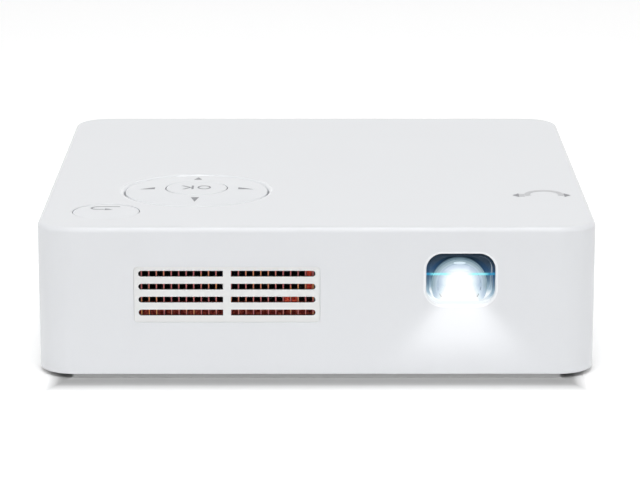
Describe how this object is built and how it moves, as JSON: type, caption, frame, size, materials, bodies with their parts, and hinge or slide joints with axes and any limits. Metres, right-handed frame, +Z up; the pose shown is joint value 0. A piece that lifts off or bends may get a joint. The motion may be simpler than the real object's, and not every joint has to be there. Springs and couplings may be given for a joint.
{
  "type": "led projector",
  "caption": "Pocket LED projector with a slotted front vent, recessed lens window, four-way key ring on top, side focus wheel and rear sockets.",
  "frame": {"origin": "middle of the case at the height that the rubber feet stand on", "axes": "+Z up, the lens faces -Y, +X is to the right when the front is seen from outside"},
  "size_m": [0.1507, 0.15, 0.0415],
  "materials": {
    "white_shell": "satin white ABS",
    "white_key": "satin white keys",
    "black_plastic": "fine matte black",
    "grey_plastic": "matte dark grey",
    "rubber": "soft dark grey",
    "steel": "plated steel",
    "brass": "turned brass",
    "copper": "bare copper",
    "aluminium": "cast aluminium",
    "glass": "coated lens glass",
    "circuit_board": "green solder mask",
    "dark_window": "glossy dark red",
    "battery_wrap": "blue shrink wrap",
    "ribbon": "amber film",
    "led_emitter": "clear domes on white boards"
  },
  "bodies": {
    "root": {"top_cover": "white_shell", "bottom_cover": "white_shell", "vent_grille": "white_shell", "lens_bezel": "black_plastic", "ir_window": "dark_window", "tripod_insert": "brass", "rubber_foot_1": "rubber", "rubber_foot_2": "rubber", "rubber_foot_3": "rubber", "rubber_foot_4": "rubber", "case_screw_1": "steel", "case_screw_2": "steel", "case_screw_3": "steel", "case_screw_4": "steel", "keypad_collar": "grey_plastic", "keypad_board": "circuit_board", "tact_switch_right": "steel", "tact_switch_up": "steel", "tact_switch_left": "steel", "tact_switch_down": "steel", "tact_switch_ok": "steel", "tact_switch_back": "steel", "keypad_ribbon": "ribbon", "engine_housing": "aluminium", "focus_axle": "steel", "focus_bracket": "grey_plastic", "led_module_green": "led_emitter", "led_module_red": "led_emitter", "led_module_blue": "led_emitter", "led_spreader": "copper", "heat_pipe": "copper", "led_heatsink": "copper", "chip_board": "circuit_board", "chip_heatsink": "aluminium", "fan_frame": "black_plastic", "main_board": "circuit_board", "board_screw_1": "steel", "board_screw_2": "steel", "board_screw_3": "steel", "board_screw_4": "steel", "hdmi_port": "steel", "usb_port": "steel", "dc_jack": "black_plastic", "audio_jack": "black_plastic", "power_switch_body": "steel", "battery_pack": "battery_wrap", "speaker": "black_plastic"},
    "dpad_gimbal": {"dpad_gimbal_ring": "grey_plastic"},
    "dpad_key": {"dpad_ring": "white_key"},
    "ok_key": {"ok_button": "white_key"},
    "back_key": {"back_button": "white_key"},
    "focus_wheel": {"focus_wheel": "black_plastic"},
    "focus_group": {"focus_barrel": "black_plastic", "lens_front_element": "glass", "lens_rear_element": "glass"},
    "fan_rotor": {"fan_rotor": "black_plastic"},
    "power_knob": {"power_switch_knob": "black_plastic"}
  },
  "joints": [
    {"name": "dpad_pitch", "type": "hinge", "parent": "root", "child": "dpad_gimbal", "pos_m": [-0.0337, -0.029, 0.036], "axis": [1, 0, 0], "range_deg": [-1.2, 1.2], "stiffness_Nm_per_rad": 0.6},
    {"name": "dpad_roll", "type": "hinge", "parent": "dpad_gimbal", "child": "dpad_key", "pos_m": [-0.0337, -0.029, 0.036], "axis": [0, 1, 0], "range_deg": [-1.2, 1.2], "stiffness_Nm_per_rad": 0.6},
    {"name": "ok_press", "type": "slide", "parent": "root", "child": "ok_key", "axis": [0, 0, -1], "range_m": [0, 0.00035], "stiffness_N_per_m": 800, "springref_m": -0.0003},
    {"name": "back_press", "type": "slide", "parent": "root", "child": "back_key", "axis": [0, 0, -1], "range_m": [0, 0.00035], "stiffness_N_per_m": 800, "springref_m": -0.0003},
    {"name": "focus_turn", "type": "hinge", "parent": "root", "child": "focus_wheel", "pos_m": [0.063, -0.039, 0.0285], "axis": [0, 0, 1], "range_deg": [-24, 24]},
    {"name": "focus_slide", "type": "slide", "parent": "root", "child": "focus_group", "axis": [0, 1, 0], "range_m": [-0.0015, 0.0015]},
    {"name": "fan_spin", "type": "hinge", "parent": "root", "child": "fan_rotor", "pos_m": [-0.0679, 0.018, 0.0208], "axis": [1, 0, 0], "continuous": true},
    {"name": "power_slide", "type": "slide", "parent": "root", "child": "power_knob", "axis": [1, 0, 0], "range_m": [0, 0.003]}
  ],
  "couplings": [
    {"joint": "focus_turn", "follows": "focus_slide", "rad_per_m": -277.78}
  ]
}
